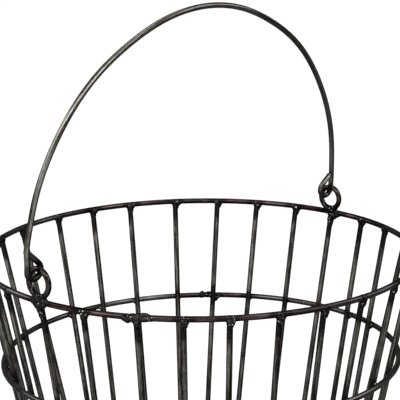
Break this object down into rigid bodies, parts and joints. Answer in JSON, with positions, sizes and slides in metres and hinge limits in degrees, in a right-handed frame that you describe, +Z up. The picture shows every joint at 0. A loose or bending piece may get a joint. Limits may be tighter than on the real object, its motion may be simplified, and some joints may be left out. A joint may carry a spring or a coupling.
{
  "type": "egg collection basket",
  "caption": "Round tapered basket of welded steel wire with upright ribs, hoops, a wire grid floor and a swinging bail hooked through eyes on the rim.",
  "frame": {"origin": "centre of the base hoop, on the surface the basket stands on", "axes": "+Z up; +X along the bail's hinge line, from the left eye to the right eye"},
  "size_m": [0.3498, 0.3378, 0.394],
  "materials": {
    "rib_wire": "dark mill-scaled steel wire under clear lacquer, semi-gloss",
    "floor_wire": "dark mill-scaled steel wire under clear lacquer, semi-gloss",
    "hoop_wire": "dark steel wire, red-brown heat tint near the welds, clear lacquer",
    "eye_wire": "near-black scorched steel, glossy lacquer",
    "bail_wire": "olive-grey gunmetal steel, clear lacquer",
    "weld_metal": "near-black weld metal with scale and spatter, glossy lacquer"
  },
  "bodies": {
    "basket": {"base_beads": "weld_metal", "base_closing_weld": "weld_metal", "base_hoop": "hoop_wire", "cross_beads": "weld_metal", "cross_wire_1": "floor_wire", "cross_wire_2": "floor_wire", "eye_beads": "weld_metal", "eye_left": "eye_wire", "eye_right": "eye_wire", "floor_beads": "weld_metal", "floor_wire_1": "floor_wire", "floor_wire_2": "floor_wire", "floor_wire_3": "floor_wire", "floor_wire_4": "floor_wire", "floor_wire_5": "floor_wire", "floor_wire_6": "floor_wire", "floor_wire_7": "floor_wire", "floor_wire_8": "floor_wire", "floor_wire_9": "floor_wire", "middle_beads": "weld_metal", "middle_closing_weld": "weld_metal", "middle_hoop": "hoop_wire", "rib_01": "rib_wire", "rib_02": "rib_wire", "rib_03": "rib_wire", "rib_04": "rib_wire", "rib_05": "rib_wire", "rib_06": "rib_wire", "rib_07": "rib_wire", "rib_08": "rib_wire", "rib_09": "rib_wire", "rib_10": "rib_wire", "rib_11": "rib_wire", "rib_12": "rib_wire", "rib_13": "rib_wire", "rib_14": "rib_wire", "rib_15": "rib_wire", "rib_16": "rib_wire", "rib_17": "rib_wire", "rib_18": "rib_wire", "rib_19": "rib_wire", "rib_20": "rib_wire", "rib_21": "rib_wire", "rib_22": "rib_wire", "rib_23": "rib_wire", "rib_24": "rib_wire", "rib_25": "rib_wire", "rib_26": "rib_wire", "rib_27": "rib_wire", "rib_28": "rib_wire", "rim_beads": "weld_metal", "rim_closing_weld": "weld_metal", "rim_hoop": "hoop_wire"},
    "bail": {"bail": "bail_wire"}
  },
  "joints": [
    {"name": "bail_swing", "type": "hinge", "parent": "basket", "child": "bail", "pos_m": [0, 0, 0.2134], "axis": [1, 0, -0.0048], "range_deg": [-104, 106]}
  ]
}
